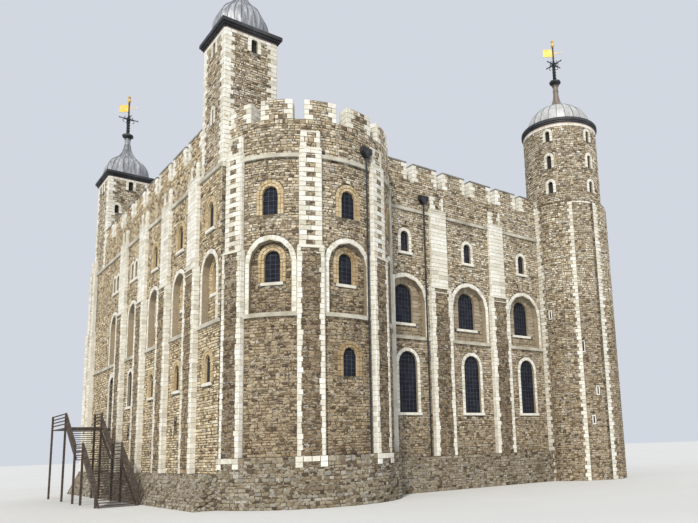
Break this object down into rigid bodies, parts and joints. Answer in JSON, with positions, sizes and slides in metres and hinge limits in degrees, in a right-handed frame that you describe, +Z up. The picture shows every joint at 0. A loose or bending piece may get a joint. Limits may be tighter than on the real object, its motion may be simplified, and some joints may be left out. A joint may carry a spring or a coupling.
{
  "type": "castle keep scale model",
  "caption": "Square stone castle keep at one-tenth size, hollow, with round-ended apse, corner turrets under lead cupolas, turning vanes and a timber entrance stair.",
  "frame": {"origin": "on the level ground, under the middle of the whole outline", "axes": "+X east, towards the apse; +Y north, away from the entrance front; +Z up"},
  "size_m": [3.815, 3.9902, 4.1343],
  "materials": {
    "coping_stone": "rough",
    "dark_lead": "matt",
    "dressed_stone": "rough",
    "floor_boards": "worn",
    "gilding": "gilded",
    "iron": "painted",
    "lead": "dull weathered lead",
    "pilaster_stone": "rough",
    "pipe_iron": "painted",
    "plinth_stone": "rough",
    "rubble": "rough",
    "timber": "weathered",
    "window_glass": "leaded"
  },
  "bodies": {
    "keep": {"apse_dressings": "dressed_stone", "apse_east_bay": "rubble", "apse_north_bay": "rubble", "apse_parapet": "rubble", "apse_pilasters": "pilaster_stone", "apse_plinth": "plinth_stone", "apse_roof": "lead", "apse_south_bay": "rubble", "basement_floor": "rubble", "doorway_footing": "rubble", "doorway_head": "rubble", "east_dressings": "dressed_stone", "east_parapet": "rubble", "east_pilasters": "pilaster_stone", "east_plinth": "plinth_stone", "east_wall": "rubble", "entrance_floor": "floor_boards", "gallery_floor": "floor_boards", "main_roof": "lead", "merlon_copings": "coping_stone", "north_dressings": "dressed_stone", "north_parapet": "rubble", "north_pilasters": "pilaster_stone", "north_plinth": "plinth_stone", "north_wall": "rubble", "northeast_turret": "rubble", "northeast_turret_shaft": "rubble", "northwest_turret": "rubble", "rainwater_pipes": "pipe_iron", "south_batter": "plinth_stone", "south_dressings": "dressed_stone", "south_parapet": "rubble", "south_pilasters": "pilaster_stone", "south_wall": "rubble", "south_wall_west_end": "rubble", "southeast_turret": "rubble", "southwest_turret": "rubble", "stair_landings": "timber", "stair_posts": "timber", "stair_rails": "timber", "stair_strings": "timber", "stair_treads": "timber", "string_courses": "dressed_stone", "turret_cornices": "dark_lead", "turret_domes": "lead", "upper_floor": "floor_boards", "vane_spindles": "iron", "west_dressings": "dressed_stone", "west_parapet": "rubble", "west_pilasters": "pilaster_stone", "west_plinth": "plinth_stone", "west_wall": "rubble", "window_glass": "window_glass"},
    "northeast_vane_body": {"northeast_vane": "gilding"},
    "northwest_vane_body": {"northwest_vane": "gilding"},
    "southeast_vane_body": {"southeast_vane": "gilding"},
    "southwest_vane_body": {"southwest_vane": "gilding"}
  },
  "joints": [
    {"name": "northeast_vane_turn", "type": "hinge", "parent": "keep", "child": "northeast_vane_body", "pos_m": [1.4425, 1.62514, 3.92], "axis": [0, 0, 1], "continuous": true},
    {"name": "northwest_vane_turn", "type": "hinge", "parent": "keep", "child": "northwest_vane_body", "pos_m": [-1.6575, 1.74514, 3.81], "axis": [0, 0, 1], "continuous": true},
    {"name": "southeast_vane_turn", "type": "hinge", "parent": "keep", "child": "southeast_vane_body", "pos_m": [1.225, -1.40364, 3.81], "axis": [0, 0, 1], "continuous": true},
    {"name": "southwest_vane_turn", "type": "hinge", "parent": "keep", "child": "southwest_vane_body", "pos_m": [-1.6575, -1.38114, 3.81], "axis": [0, 0, 1], "continuous": true}
  ]
}
